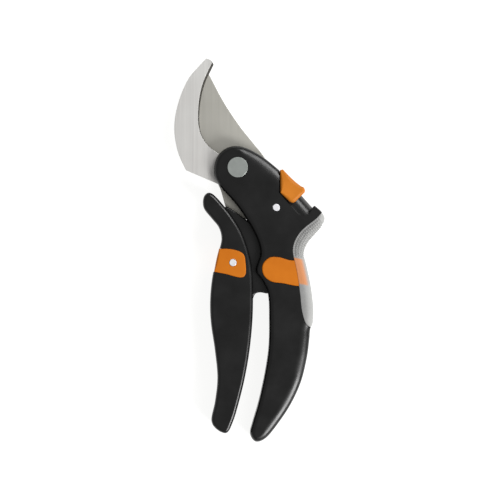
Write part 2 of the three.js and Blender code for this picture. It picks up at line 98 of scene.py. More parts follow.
TABLE_GLOW = 0.9
bpy.ops.mesh.primitive_plane_add(size=6, location=(0, 0, cad_low.z - 0.05 * MM))
table = bpy.context.object
table.name = "table"
acrylic = surface("backlit_white_acrylic", {
    "Roughness": 0.9, "Base Color": linear("898989"), "Emission Color": linear("fefefd"),
    "Emission Strength": TABLE_GLOW})[0]
table.data.materials.append(acrylic)

world = bpy.context.scene.world or bpy.data.worlds.new("studio")
bpy.context.scene.world = world
world.use_nodes = True
sky = world.node_tree.nodes["Background"]
sky.inputs["Color"].default_value = linear("ffffff")
sky.inputs["Strength"].default_value = 0.33

middle = (cad_low + cad_high) / 2
for name, side, size, power in (
    ("lower_right_softbox", (0.62, -0.48, 0.62), 0.42, 9.0),
    ("upper_right_softbox", (0.52, 0.58, 0.68), 0.42, 5.0),
):
    lamp = bpy.data.lights.new(name, "AREA")
    lamp.size = size
    lamp.energy = power
    holder = bpy.data.objects.new(name, lamp)
    bpy.context.scene.collection.objects.link(holder)
    holder.location = middle + Vector(side)
    holder.rotation_euler = Vector(side).to_track_quat("Z", "Y").to_euler()

VIEW_WIDTH = 295 * MM
LENS, SENSOR = 135, 36
lens = bpy.data.cameras.new("camera")
lens.lens, lens.sensor_width = LENS, SENSOR
lens.clip_start, lens.clip_end = 0.05, 20
camera = bpy.data.objects.new("camera", lens)
bpy.context.scene.collection.objects.link(camera)
camera.location = middle + Vector((0.4 * MM, -0.2 * MM, VIEW_WIDTH * LENS / SENSOR))
bpy.context.scene.camera = camera
bpy.context.scene.view_settings.view_transform = "Standard"

# ---------------------------------------------------------------------------------------------
# The hook, the fixed counter-blade.
# Blanked from 3.2 mm steel plate, ground flat and satin finished. Its inner edge is ground to a
# slope that is steep and widest at the beak. Its root is held in the head by the bright pin.


def between(p, i, count):
    """So many places on the smooth curve through the points p, from point i on to the next."""
    start, end = p[i], p[i + 1]
    leave = (end - p[max(i - 1, 0)]) / 2
    arrive = (p[min(i + 2, len(p) - 1)] - start) / 2
    return [(2 * t**3 - 3 * t**2 + 1) * start + (t**3 - 2 * t**2 + t) * leave
            + (3 * t**2 - 2 * t**3) * end + (t**3 - t**2) * arrive for t in np.arange(count) / count]


def curve(*runs, step=0.8):
    """A closed outline in mm: each run is a smooth curve through its points, corners between."""
    points = []
    for run in runs:
        p = np.array(run, float)
        for i in range(len(p) - 1):
            points += between(p, i, max(1, round(np.linalg.norm(p[i + 1] - p[i]) / step)))
    return np.array(points)


def inward(points):
    """The unit direction into the outline at each of its points."""
    along = np.roll(points, -1, 0) - np.roll(points, 1, 0)
    along /= np.linalg.norm(along, axis=1)[:, None]
    x, y = points.T
    turning = np.sign(np.sum(x * np.roll(y, -1) - np.roll(x, -1) * y))
    return np.stack([-along[:, 1], along[:, 0]], 1) * turning


def room_inside(points, wanted):
    """How far each point can move in before it meets the far side, up to what is wanted."""
    wanted = np.broadcast_to(np.asarray(wanted, float), len(points))
    way = inward(points)
    room = np.zeros(len(points))
    open_ = np.ones(len(points), bool)
    for share in np.linspace(0.08, 1, 12):
        depth = share * wanted
        centre = points + way * depth[:, None]
        gap = np.linalg.norm(points[None] - centre[:, None], axis=2).min(1)
        open_ &= gap >= depth * 0.96
        room = np.where(open_, depth, room)
    room = np.min([np.roll(room, k) for k in range(-3, 4)], axis=0)
    return 0.85 * np.mean([np.roll(room, k) for k in range(-5, 6)], axis=0)


def rim(points, face, side, width, height, steps):
    """Rings from the wall round to a face: side is +1 for an upper face and -1 for a lower."""
    room = room_inside(points, width)
    height = np.broadcast_to(np.asarray(height, float), len(points))
    rings = []
    for turn in np.linspace(0, math.pi / 2, steps + 1):
        plan = points + inward(points) * (room * (1 - math.cos(turn)))[:, None]
        level = face - side * height * (1 - math.sin(turn))
        rings.append(np.column_stack([plan, level]) * MM)
    return rings


def moulding(name, points, low, high, low_rim=None, high_rim=None, flare=None):
    """A piece of this outline between two heights in mm. A rim is (width, height, steps), and
    flare is how far each point of the lower face stands out."""
    foot = points if flare is None else points - inward(points) * flare[:, None]
    rings = rim(foot, low, -1, *low_rim)[::-1] if low_rim else [
        np.column_stack([foot, np.full(len(foot), low)]) * MM]
    rings += rim(points, high, 1, *high_rim) if high_rim else [
        np.column_stack([points, np.full(len(points), high)]) * MM]
    bpy.ops.object.select_all(action="DESELECT")
    bpy.ops.mesh.primitive_circle_add(vertices=len(points), fill_type="NGON")
    piece = bpy.context.object
    piece.name = piece.data.name = name
    for vertex, place in zip(piece.data.vertices, rings[0]):
        vertex.co = place
    piece.location = (0, 0, 0)
    bpy.ops.object.mode_set(mode="EDIT")
    bpy.ops.mesh.select_all(action="SELECT")
    for before, after in zip(rings, rings[1:]):
        bpy.ops.mesh.extrude_region_move()
        mesh = bmesh.from_edit_mesh(piece.data)
        moved = [v for v in mesh.verts if v.select]
        places = np.array([v.co for v in moved])
        nearest = ((places[:, None] - before[None]) ** 2).sum(2).argmin(1)
        for vertex, index in zip(moved, nearest):
            vertex.co = after[index]
        bmesh.update_edit_mesh(piece.data)
    bpy.ops.mesh.select_all(action="SELECT")
    bpy.ops.mesh.normals_make_consistent(inside=False)
    bpy.ops.object.mode_set(mode="OBJECT")
    return piece


def combine(piece, tools, operation="DIFFERENCE"):
    """Cuts each tool out of the piece, or joins or keeps what they share, and removes it."""
    for tool in tools:
        change = piece.modifiers.new("combine", "BOOLEAN")
        change.operation = operation
        change.solver = "EXACT"
        change.object = tool
        bpy.context.view_layer.objects.active = piece
        bpy.ops.object.modifier_apply(modifier=change.name)
        bpy.data.objects.remove(tool)
    return piece


def smooth(piece, material, angle=32):
    """Smooth shading up to an angle, with flat faces kept flat, and the piece's material."""
    bpy.ops.object.select_all(action="DESELECT")
    piece.select_set(True)
    bpy.context.view_layer.objects.active = piece
    bpy.ops.object.shade_smooth_by_angle(angle=math.radians(angle))
    change = piece.modifiers.new("flat", "WEIGHTED_NORMAL")
    change.keep_sharp = True
    bpy.ops.object.modifier_apply(modifier=change.name)
    piece.data.materials.clear()
    piece.data.materials.append(material)
    return piece


def circle(place, radius, count=64):
    turn = np.arange(count) / count * 2 * math.pi
    return np.array(place) + radius * np.column_stack([np.cos(turn), np.sin(turn)])


BELOW, ABOVE = -5, 26           # clear of both faces of the tool, for cuts that go through


def bore(place, radius, low=BELOW, high=ABOVE, count=64):
    """A round tool for cutting a hole."""
    return moulding("bore", circle(place, radius, count), low, high)


hook_inner = [[-11.3, 8.4], [-17, 12.6], [-21.4, 19], [-23.2, 27], [-22.8, 39], [-20.4, 50],
              [-15.2, 61.6]]
hook_plan = curve(
    [[-18.5, 64.4], [-23.2, 59.4], [-28.7, 52.8], [-33.1, 43.7], [-36.3, 33], [-37.4, 23], [-36.2, 13],
     [-33.8, 5.4], [-30.5, -1.5]],
    [[-30.5, -1.5], [-13.1, -8.9]],
    [[-13.1, -8.9], [-6, -12.4], [4, -19], [14, -27.4], [22.4, -30], [28.6, -26], [28, -19], [20, -11],
     [14.2, -2], [9, 6], [0, 9.6], [-11.3, 8.4]],
    hook_inner,
    [[-15.2, 61.6], [-15.9, 63.4], [-18.5, 64.4]],
    step=0.7,
)
HOOK_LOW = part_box("hook")[0].z / MM
HOOK_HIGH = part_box("hook")[1].z / MM
HOOK_PIN = [22.6, -23.5]
PIVOT = [0, 0]
BARREL_R = 4.1
PIN_R, PIN_BORE_R = 2.05, 2.15
EDGE_SLOPE = 1.05

to_inner = np.linalg.norm(hook_plan[:, None] - curve(hook_inner, step=0.3)[None], axis=2).min(1)
up_beak = np.clip((hook_plan[:, 1] - 8) / 50, 0, 1)
hook_flare = np.where(to_inner < 0.4, 0.1 + EDGE_SLOPE * up_beak, 0)
hook_flare = np.mean([np.roll(hook_flare, k) for k in (-1, 0, 1)], axis=0)

hook = moulding("hook_plate", hook_plan, HOOK_LOW, HOOK_HIGH,
                high_rim=(0.22, 0.2, 3), flare=hook_flare)
combine(hook, [bore(PIVOT, BARREL_R), bore(HOOK_PIN, PIN_BORE_R)])


def ground_steel(name, colour, shade, roughness, turn, line_mm, depth_mm):
    """Steel with a belt-ground satin face: fine lines one way, and slow cloudy variation."""
    material, shader = surface(name, {"Metallic": 1.0})
    place = add(material, "ShaderNodeTexCoord").outputs["Object"]
    lines_place = add(material, "ShaderNodeMapping", {
        "Rotation": (0, 0, math.radians(turn)), "Scale": (1 / (line_mm * MM), 12, 1 / (line_mm * MM)),
    }, {"Vector": place})
    lines = add(material, "ShaderNodeTexNoise", {"Scale": 1.0, "Detail": 3.0, "Roughness": 0.6},
                {"Vector": lines_place.outputs[0]})
    clouds = add(material, "ShaderNodeTexNoise", {"Scale": 45.0, "Detail": 2.0}, {"Vector": place})
    blend = add(material, "ShaderNodeMath", {"operation": "MULTIPLY_ADD", 1: 0.2},
                {0: lines.outputs["Fac"], 2: clouds.outputs["Fac"]})
    tone = add(material, "ShaderNodeValToRGB", links={"Fac": blend.outputs[0]})
    tone.color_ramp.elements[0].position = 0.4
    tone.color_ramp.elements[0].color = linear(shade)
    tone.color_ramp.elements[1].position = 0.8
    tone.color_ramp.elements[1].color = linear(colour)
    material.node_tree.links.new(tone.outputs["Color"], shader.inputs["Base Color"])
    rough = add(material, "ShaderNodeMapRange", {
        "From Min": 0.3, "From Max": 0.7, "To Min": roughness - 0.05, "To Max": roughness + 0.06,
    }, {"Value": lines.outputs["Fac"]})
    material.node_tree.links.new(rough.outputs[0], shader.inputs["Roughness"])
    bump = add(material, "ShaderNodeBump", {"Strength": 0.5, "Distance": depth_mm * MM},
               {"Height": lines.outputs["Fac"]})
    material.node_tree.links.new(bump.outputs[0], shader.inputs["Normal"])
    return material


# Satin-chromed plate: pale, slightly warm, with lines too fine to see but for a faint grain.
hook_steel = ground_steel("satin_ground_steel_plate", "e9e8e5", "e3e1de", 0.54, 25, 0.4, 0.006)
smooth(hook, hook_steel)

# painted shade: the ground slope along the inner edge is painted dark grey, for the shade that falls there
painted_shade_edge = ground_steel("ground_steel_painted_shade_edge", "4e4c48", "403e3b", 0.6, 25, 0.4, 0.006)
hook.data.materials.append(painted_shade_edge)
slope_line = curve(hook_inner, step=0.3)
for face in hook.data.polygons:
    place = np.array(face.center[:2]) / MM
    if face.normal.z < 0.93 and np.linalg.norm(slope_line - place, axis=1).min() < 1.9:
        face.material_index = 1

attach(hook, "frame")
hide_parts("hook")

# ---------------------------------------------------------------------------------------------
# The cutting blade.
# Hardened steel, 2.7 mm, darker than the hook from its low-friction coat. The side that meets the
# hook is flat; the belly is ground to an edge from behind. A tang runs down into the lever core.

blade_belly = [[-13.4, -2], [-17.4, 8], [-23, 16], [-25.8, 27], [-25.2, 38], [-22.4, 48],
               [-17.4, 56]]
blade_runs = (
    [[-17.4, 56], [-8.4, 39], [0.4, 25.6], [7, 17.2], [13.4, 9.4], [15.9, 5.9]],
    [[15.9, 5.9], [15.9, 3.8], [15.7, -1], [15, -4.6], [12.6, -9.3]],
    [[12.6, -9.3], [8, -15], [5.6, -24], [4.6, -35], [4.6, -46], [2.4, -56], [-2.8, -60.8],
     [-7.6, -56.4], [-5, -48], [-3.4, -40], [-5, -30], [-7.4, -22.4], [-10, -13.3], [-12, -8.6],
     [-13.4, -2]],
    blade_belly,
)
blade_plan = curve(*blade_runs, step=0.7)
BLADE_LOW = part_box("cutting_blade")[0].z / MM
BLADE_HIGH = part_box("cutting_blade")[1].z / MM
GRIND_WIDTH = 5.5
EDGE_LEFT = 0.35

to_belly = np.linalg.norm(blade_plan[:, None] - curve(blade_belly, step=0.3)[None], axis=2).min(1)
ground = np.clip(1 - to_belly / 1.5, 0, 1) * np.clip((blade_plan[:, 1] - 2) / 16, 0, 1)
ground = np.mean([np.roll(ground, k) for k in range(-3, 4)], axis=0) * (to_belly < 2)
blade = moulding(
    "blade_plate", blade_plan, BLADE_LOW, BLADE_HIGH,
    low_rim=(0.15 + GRIND_WIDTH * ground, 0.15 + (BLADE_HIGH - BLADE_LOW - EDGE_LEFT) * ground, 1),
    high_rim=(0.2, 0.15, 2))
GRIP_PIN = [-2.8, -55.8]
RIVETS = [[0, -40.5], [0.8, -48.4]]
combine(blade, [bore(PIVOT, BARREL_R), bore(GRIP_PIN, PIN_BORE_R), *(bore(place, 1.7) for place in RIVETS)])

# Grey coated steel: even and darker than bare plate, with a faint grain across the blade.
blade_steel = ground_steel("low_friction_coated_steel", "c8c6be", "bebcb4", 0.54, 115, 0.4, 0.006)
smooth(blade, blade_steel)
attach(blade, "blade")
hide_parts("cutting_blade")

# ---------------------------------------------------------------------------------------------
# The lever core, which joins the blade to the finger grip.
# Glass-filled nylon moulded round the tang, with two rivets through both. It turns with the blade
# and shuts into the slot of the palm handle.

lever_plan = curve(
    [[-11, -25.5], [-6.8, -23], [-0.5, -26.6], [5.9, -31.3], [13, -36.4], [19.5, -44.5],
     [23, -55], [23.4, -66], [21.5, -74]],
    [[21.5, -74], [16.6, -74]],
    [[16.6, -74], [13, -73.4], [10.2, -74.4], [8.6, -78], [6, -82.4], [0, -84.2], [-6, -81.6],
     [-9.6, -74], [-10, -66], [-9.3, -57], [-6.6, -48], [-5.6, -40], [-7, -33], [-11, -25.5]],
)
LEVER_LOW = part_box("lever_core")[0].z / MM
LEVER_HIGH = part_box("lever_core")[1].z / MM
lever = moulding("lever_core_moulding", lever_plan, LEVER_LOW, LEVER_HIGH,
                 low_rim=(1.0, 0.9, 4), high_rim=(1.0, 0.9, 4))
tang_room = moulding("tang_room", curve(*blade_runs, step=1.2), BLADE_LOW - 0.1, BLADE_HIGH + 0.1)
combine(lever, [tang_room, bore(GRIP_PIN, PIN_BORE_R)])
RIVET_BORE_R, RIVET_HEAD_ROOM_R = 1.75, 2.75
for place in RIVETS:
    combine(lever, [
        bore(place, RIVET_BORE_R),
        bore(place, RIVET_HEAD_ROOM_R, LEVER_HIGH - 1),
        bore(place, RIVET_HEAD_ROOM_R, BELOW, LEVER_LOW + 1),
    ])


def moulded_plastic(name, colour, shade, roughness, grain_mm, depth_mm, shine=0.5):
    """A moulded plastic with the fine spark-eroded grain of its mould and soft handling marks."""
    material, shader = surface(name, {"IOR": 1.5, "Specular IOR Level": shine})
    place = add(material, "ShaderNodeTexCoord").outputs["Object"]
    grain = add(material, "ShaderNodeTexNoise", {"Scale": 1 / (grain_mm * MM), "Detail": 2.0},
                {"Vector": place})
    marks = add(material, "ShaderNodeTexNoise", {"Scale": 60.0, "Detail": 4.0, "Roughness": 0.6},
                {"Vector": place})
    tone = add(material, "ShaderNodeValToRGB", links={"Fac": marks.outputs["Fac"]})
    tone.color_ramp.elements[0].position = 0.35
    tone.color_ramp.elements[0].color = linear(shade)
    tone.color_ramp.elements[1].position = 0.65
    tone.color_ramp.elements[1].color = linear(colour)
    material.node_tree.links.new(tone.outputs["Color"], shader.inputs["Base Color"])
    rough = add(material, "ShaderNodeMapRange", {
        "From Min": 0.35, "From Max": 0.65, "To Min": roughness - 0.05, "To Max": roughness + 0.05,
    }, {"Value": marks.outputs["Fac"]})
    material.node_tree.links.new(rough.outputs[0], shader.inputs["Roughness"])
    bump = add(material, "ShaderNodeBump", {"Strength": 0.4, "Distance": depth_mm * MM},
               {"Height": grain.outputs["Fac"]})
    material.node_tree.links.new(bump.outputs[0], shader.inputs["Normal"])
    return material


# Black nylon: satin, a little grey from its glass fibre. The grain is drawn at 0.5 mm to show.
black_nylon = moulded_plastic("black_glass_filled_nylon", "0b0b0b", "080808", 0.32, 0.5, 0.012)
smooth(lever, black_nylon)
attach(lever, "blade")
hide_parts("lever_core")

# ---------------------------------------------------------------------------------------------
# Head and palm handle: a front and a back half, moulded in black nylon.
# The halves meet on a fine parting line and are screwed together from the back. The outer edges
# have a broad soft rounding; the inside is cut away for the blade, the lever, the lock and screws.

body_plan = curve(
    [[-9.4, -12.4], [-13, -7.2], [-14, -1.6], [-12.6, 5.2], [-8.8, 10], [-3.6, 12.4], [2, 12.4],
     [8.4, 9.9], [16, 5.2], [24.1, -1.4]],
    [[24.1, -1.4], [45, -22.2]],
    [[45, -22.2], [49.4, -26.2], [51, -30], [49, -35], [44.6, -40], [40.6, -45], [38.9, -51],
     [40.6, -59], [42.8, -69], [44, -79], [44.5, -88], [42.6, -94.6], [42, -101], [40.5, -112],
     [37, -126], [31, -139], [23.6, -150.2], [16.6, -158.6], [10.6, -160.8], [7.3, -156.4],
     [8.6, -150.2], [12.3, -137.4], [15.9, -121], [18.1, -106], [18.5, -90], [17.9, -75],
     [14.6, -66.8], [10.6, -60.4], [13.2, -50.4], [11.2, -41.6], [5.9, -31.6], [-0.9, -21.7],
     [-9.4, -12.4]],
)
pad_line = [[49.2, -26.6], [45.4, -30.6], [39.8, -34.9], [35.6, -39.4], [32.9, -44.9],
            [32.4, -50.2], [33.9, -57], [35.4, -65], [36.6, -74], [37.7, -84], [39.8, -91],
            [42.8, -93.8]]
OUT = 90
pad_room_plan = curve(pad_line, [[42.8, -93.8], [OUT, -93.8]], [[OUT, -93.8], [OUT, -26.6]],
                      [[OUT, -26.6], [49.2, -26.6]])
lever_room_plan = curve(
    [[-OUT, -20], [-1, -25]],
    [[-1, -25], [6.4, -30], [14, -35.2], [20.6, -43.6], [24.2, -54], [24.8, -66], [23.4, -75.6]],
    [[23.4, -75.6], [15, -78.4]],
    [[15, -78.4], [-OUT, -78.4]],
    [[-OUT, -78.4], [-OUT, -20]],
    step=3,
)
tang_room_plan = np.array([[12.4, -10], [9, -15.6], [6.6, -24], [6.4, -34], [-OUT, -34],
                           [-OUT, OUT], [0, OUT]])
palm_band_runs = (
    [[35, -54.6], [30, -54.2], [24.3, -52.6], [18.6, -52.8], [14.6, -57], [15, -62.8],
     [19.6, -66.8], [27, -68], [34, -69.4], [40, -69.4]],
    [[40, -69.4], [40, -54.6]],
    [[40, -54.6], [35, -54.6]],
)
THICK = 20
PARTING = 10
PARTING_RIM = (0.25, 0.2, 1)
SLOT_LOW = BLADE_LOW - 0.3
BOSS_ROOM = 17.4
LOCK_TURN = math.radians(-48.7)
RAIL_N = 18
TRACK_END = 46.6
BODY_SCREWS = [[30, -35], [29.5, -78.5], [14, -151.5]]
GRIP_SCREWS = [[-4, -94], [-9, -147]]
COUNTERBORE = (3.1, BELOW, 2.9, 32)

RIM_HEIGHT = 3.3
facing_right = np.clip(-inward(body_plan)[:, 0], 0, 1)
on_head = np.clip((body_plan[:, 1] + 22) / 4, 0, 1)
by_nub = np.clip(1.6 - np.linalg.norm(body_plan - [47.5, -24.5], axis=1) / 4, 0, 1)
rim_width = (3.4 + 3.8 * facing_right + 7 * facing_right * on_head) * (1 - 0.88 * by_nub)
body_rim = (rim_width, RIM_HEIGHT, 9)
body_plan[:, 1] = np.maximum(body_plan[:, 1], cad_low.y / MM)   # no longer than the CAD model


def grown(points, distance):
    return points - inward(points) * distance


def from_lock(points):
    """Plan places from the lock's own directions: along the slide, and out from the edge."""
    s, n = np.array(points, float).T
    return np.column_stack([s * math.cos(LOCK_TURN) - n * math.sin(LOCK_TURN),
                            s * math.sin(LOCK_TURN) + n * math.cos(LOCK_TURN)])


def turned_out(piece):
    """Turns every face of a closed mesh to point outwards."""
    bpy.ops.object.select_all(action="DESELECT")
    piece.select_set(True)
    bpy.context.view_layer.objects.active = piece
    bpy.ops.object.mode_set(mode="EDIT")
    bpy.ops.mesh.select_all(action="SELECT")
    bpy.ops.mesh.normals_make_consistent(inside=False)
    bpy.ops.object.mode_set(mode="OBJECT")


def track_tool(front):
    """What comes off one face for the lock: a pocket with a round end, and the rail's round edge."""
    floor = THICK - 4.3
    section = curve(
        [[8, THICK + 6], [8.4, THICK - 0.6]],
        [[8.4, THICK - 0.6], [8.5, floor + 0.8], [9.1, floor + 0.15], [10.6, floor], [12.6, floor - 0.35],
         [14.4, floor - 1.1], [15.9, floor - 2.4], [17, floor - 4.4], [RAIL_N, PARTING - 1.5]],
        [[RAIL_N, PARTING - 1.5], [40, PARTING - 1.5]],
        [[40, PARTING - 1.5], [40, THICK + 6]],
        [[40, THICK + 6], [8, THICK + 6]],
        step=0.7,
    )
    tool = moulding("track", section, 10, 60)
    for vertex in tool.data.vertices:
        n, z, s = vertex.co / MM
        x, y = from_lock([[s, n]])[0]
        vertex.co = Vector((x, y, z if front else THICK - z)) * MM
    plan = from_lock(curve(
        [[17.3, 17.4], [27.5, 7.9]],
        [[27.5, 7.9], [42.6, 8]],
        [[42.6, 8], [45.6, 9.2], [47.5, 11.6], [47.9, 14.2], [TRACK_END, RAIL_N]],
        [[TRACK_END, RAIL_N], [TRACK_END, 39]],
        [[TRACK_END, 39], [17.3, 39]],
        [[17.3, 39], [17.3, 17.4]],
    ))
    turned_out(tool)
    return combine(tool, [moulding("track_plan", plan, -8, 28)], "INTERSECT")


# the slot that the lock's pin slides along, 7 mm between the middles of its round ends
PIN_SLOT_R = 1.28
PIN_FORWARD, PIN_BACK = [28.6, 11.2], [35.6, 11.2]
round_end = np.roll(circle([0, 0], PIN_SLOT_R, 32), 8, 0)[:17]
pin_slot = from_lock(np.vstack([round_end + PIN_BACK, PIN_FORWARD - round_end]))
bolt_track = from_lock([[0, 9.4], [39, 9.4], [39, 13], [0, 13]])


def inside_cuts():
    """The rooms that both halves share."""
    return [
        moulding("pad_room", grown(pad_room_plan, 0.08), BELOW, ABOVE),
        moulding("blade_room", circle(PIVOT, BOSS_ROOM, 90), SLOT_LOW, PARTING),
        moulding("tang_room", tang_room_plan, SLOT_LOW + 0.01, PARTING + 0.01),
        moulding("lever_room", lever_room_plan, LEVER_LOW - 0.3, LEVER_HIGH + 0.3),
        moulding("bolt_track", bolt_track, BLADE_LOW - 0.32, BLADE_HIGH + 0.32),
        moulding("pin_slot", pin_slot, 3.9, THICK - 3.9),
        bore(PIVOT, BARREL_R + 0.2),
        bore(HOOK_PIN, PIN_BORE_R),
    ]


front_body = moulding("front_body_half", body_plan, PARTING + 0.04, THICK,
                      low_rim=PARTING_RIM, high_rim=body_rim)
combine(front_body, inside_cuts() + [
    moulding("hook_room", grown(hook_plan, 0.15), 5, HOOK_HIGH + 0.12),
    bore(PIVOT, 6.05, 18.5),
    track_tool(True),
    moulding("band_room", grown(curve(*palm_band_runs), 0.22), THICK - 1.5, THICK + 5),
])
back_body = moulding("back_body_half", body_plan, 0, PARTING - 0.04,
                     low_rim=body_rim, high_rim=PARTING_RIM)
combine(back_body, inside_cuts() + [
    bore(PIVOT, 7.6, 2.2, 12),
    bore(PIVOT, 5.75, -5, 1.5),
    track_tool(False),
    moulding("band_room", grown(curve(*palm_band_runs), 0.22), -5, 1.5),
    *(bore(place, *COUNTERBORE) for place in BODY_SCREWS),
])
for half, node in ((front_body, "front_body_shell"), (back_body, "back_body_shell")):
    smooth(half, black_nylon)
    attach(half, "frame")
    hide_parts(node)

# ---------------------------------------------------------------------------------------------
# The orange bands of the palm handle.
# Soft thermoplastic rubber, moulded into shallow recesses of both faces and slightly proud of
# them, with a rounded edge. A round end faces the fingers and the other runs up to the grey pad.

palm_band_plan = curve(*palm_band_runs)
orange_rubber = moulded_plastic("orange_thermoplastic_rubber", "c66e06", "be6704", 0.55, 0.4, 0.02, 0.25)
for name, node, low, high, side in (
    ("palm_band_front_rubber", "palm_band_front", THICK - 1.4, THICK + 0.12, True),
    ("palm_band_back_rubber", "palm_band_back", 0.02, 1.4, False),
):
    soft = (1.0, 0.55, 5)
    band = moulding(name, palm_band_plan, low, high,
                    low_rim=None if side else soft, high_rim=soft if side else None)
    combine(band, [moulding("pad_room", grown(pad_room_plan, 0.15), BELOW, ABOVE)])
    smooth(band, orange_rubber)
    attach(band, "frame")
    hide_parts(node)

# ---------------------------------------------------------------------------------------------
# The soft pad on the outer edge of the palm handle.
# Translucent grey thermoplastic rubber over the handle's edge. Above the orange rib that shines
# through it, it is moulded in small blocks for grip; below, it is plain.

# places across the pad, from the line where it meets the black to the handle's outer edge
pad_pairs = [
    [49.2, -26.6, 49.4, -26.4], [47.6, -28.4, 51, -30], [45.4, -30.6, 49, -35], [39.8, -34.9, 44.6, -40],
    [35.6, -39.4, 41.6, -43.6], [32.9, -44.9, 39.6, -47.4], [32.4, -50.2, 38.9, -51.5],
    [33.9, -57, 40.2, -57.2], [35.4, -65, 42, -65.2], [36.6, -74, 43.5, -74], [37.7, -84, 44.4, -84],
    [39.8, -91, 44, -91], [42.8, -93.8, 42.7, -94.2],
]
PAD_RIM = 4.6
BLOCK_PAIRS = 7                 # the pairs that the blocks lie between
BLOCK_LONG, BLOCK_WIDE, GROOVE = 1.35, 1.75, 0.42
GROOVE_DEPTH = 0.34
END_LINE = 4.2                  # where the plain end block stops, along the pad
BAND_TOP, BAND_FOOT = -45.9, -61.3
RIB_EDGE = 1.7                  # the rib under the rubber stops short of its outer edge


def across(pairs, per_mm):
    """The pairs as two smooth lines, sampled alike, so many times in each mm of the first, and a
    third as often where the pad is plain."""
    p = np.array(pairs, float)
    line = []
    for i in range(len(p) - 1):
        dense = per_mm if i < BLOCK_PAIRS else per_mm / 3
        line += between(p, i, round(np.linalg.norm((p[i + 1] - p[i])[:2]) * dense))
    line = np.array(line + [p[-1]])
    return line[:, :2], line[:, 2:]


HALF = THICK / 2
FLAT_STEPS, BEND_STEPS, EDGE_STEPS = 12, 26, 14

inner, outer = across(pad_pairs, 5)
rows = []
for near, far in zip(inner, outer):
    width = max(np.linalg.norm(far - near), 0.4)
    out = (far - near) / width
    bend = min(PAD_RIM, width)
    half = [(u * (width - bend), HALF) for u in np.arange(FLAT_STEPS) / FLAT_STEPS]
    half += [(width - bend * (1 - math.sin(a)), HALF - RIM_HEIGHT * (1 - math.cos(a)))
             for a in np.linspace(0, math.pi / 2, BEND_STEPS)]
    half += [(width, z) for z in np.linspace(HALF - RIM_HEIGHT, 0, EDGE_STEPS)[1:]]
    whole = half + [(d, -z) for d, z in half[-2::-1]]
    rows.append([(*(near + out * d), PARTING + z) for d, z in whole])
rows = np.array(rows)
stations, count = rows.shape[:2]

# blocks, grooves and the line under the end block, pressed in along each point's normal
normals = np.cross(np.gradient(rows, axis=1), np.gradient(rows, axis=0))
normals /= np.maximum(np.linalg.norm(normals, axis=2), 1e-9)[..., None]
if (normals[:, count // 2, 0] * (outer - inner)[:, 0]).sum() < 0:
    normals = -normals
s_mm = np.r_[0, np.cumsum(np.linalg.norm(np.diff(inner, axis=0), axis=1))][:, None]
lateral = np.cumsum(np.linalg.norm(np.diff(rows, axis=1, prepend=rows[:, :1]), axis=2), axis=1)
edge_mm = np.minimum(lateral, lateral[:, -1:] - lateral)
skew = rows[..., 1] + 0.2 * rows[..., 0]


def pressed(distance, pitch):
    """1 in the middle of a groove and 0 on the block beside it."""
    off = np.abs((distance / pitch) % 1 - 0.5) * pitch
    return np.clip((off - pitch / 2 + GROOVE / 2 + 0.15) / 0.15, 0, 1)


grooves = np.maximum(pressed(s_mm, BLOCK_LONG), pressed(edge_mm + 0.7, BLOCK_WIDE))
grooves *= np.clip((skew - BAND_TOP - 0.5) / 0.3, 0, 1) * np.clip((s_mm - END_LINE) / 0.3, 0, 1)
grooves = np.maximum(grooves, np.clip(1.6 - np.abs(s_mm - END_LINE) / 0.22, 0, 1))
grooves *= np.clip((edge_mm - 0.35) / 0.3, 0, 1)
proud = 0.07 * np.clip(edge_mm / 0.5, 0, 1) - 0.07
rows += normals * (proud - GROOVE_DEPTH * grooves)[..., None]
rows[..., 2] = np.clip(rows[..., 2], 0.01, THICK)
rib = (np.clip((skew - BAND_FOOT) / 0.8, 0, 1) * np.clip((BAND_TOP - skew) / 0.8, 0, 1)
       * np.clip((np.linalg.norm(rows[..., :2] - outer[:, None], axis=2) - RIB_EDGE + 1) / 2, 0, 1))
# painted highlight: nearness to the pad's outer edge, within 6 mm, where the rubber is painted paler
painted_highlight_share = np.clip(1 - np.linalg.norm(rows[..., :2] - outer[:, None], axis=2) / 6.0, 0, 1)

pad_mesh = bpy.data.meshes.new("palm_pad_rubber")
faces = [(k * count + i, k * count + (i + 1) % count, (k + 1) * count + (i + 1) % count,
          (k + 1) * count + i) for k in range(stations - 1) for i in range(count)]
faces += [tuple(range(count))[::-1], tuple(range((stations - 1) * count, stations * count))]
pad_mesh.from_pydata((rows.reshape(-1, 3) * MM).tolist(), [], faces)
for name, values in (("groove", grooves), ("rib", rib), ("painted_highlight_share", painted_highlight_share)):
    pad_mesh.attributes.new(name, "FLOAT", "POINT").data.foreach_set("value", values.ravel())
pad = bpy.data.objects.new("palm_pad_rubber", pad_mesh)
bpy.context.scene.collection.objects.link(pad)
turned_out(pad)

# Clear grey rubber: milky, with a painted highlight that makes it paler towards the outer edge on the
# lamps' side, and warm where the orange rib lies under it.
pad_rubber, pad_shader = surface("translucent_grey_rubber", {"Roughness": 0.45, "IOR": 1.48})
pad_place = add(pad_rubber, "ShaderNodeTexCoord").outputs["Object"]
cloud = add(pad_rubber, "ShaderNodeTexNoise", {"Scale": 350.0, "Detail": 3.0}, {"Vector": pad_place})
painted_highlight_node = add(pad_rubber, "ShaderNodeAttribute", {"attribute_name": "painted_highlight_share"})
cloud_and_painted_highlight = add(pad_rubber, "ShaderNodeMath", {"operation": "MULTIPLY_ADD", 1: 0.35},
                  {0: cloud.outputs["Fac"], 2: painted_highlight_node.outputs["Fac"]})
grey = add(pad_rubber, "ShaderNodeValToRGB", links={"Fac": cloud_and_painted_highlight.outputs[0]})
grey.color_ramp.elements[0].position = 0.15
grey.color_ramp.elements[0].color = linear("868685")
grey.color_ramp.elements[1].position = 1.1
grey.color_ramp.elements[1].color = linear("a1a19f")
warm = add(pad_rubber, "ShaderNodeAttribute", {"attribute_name": "rib"})
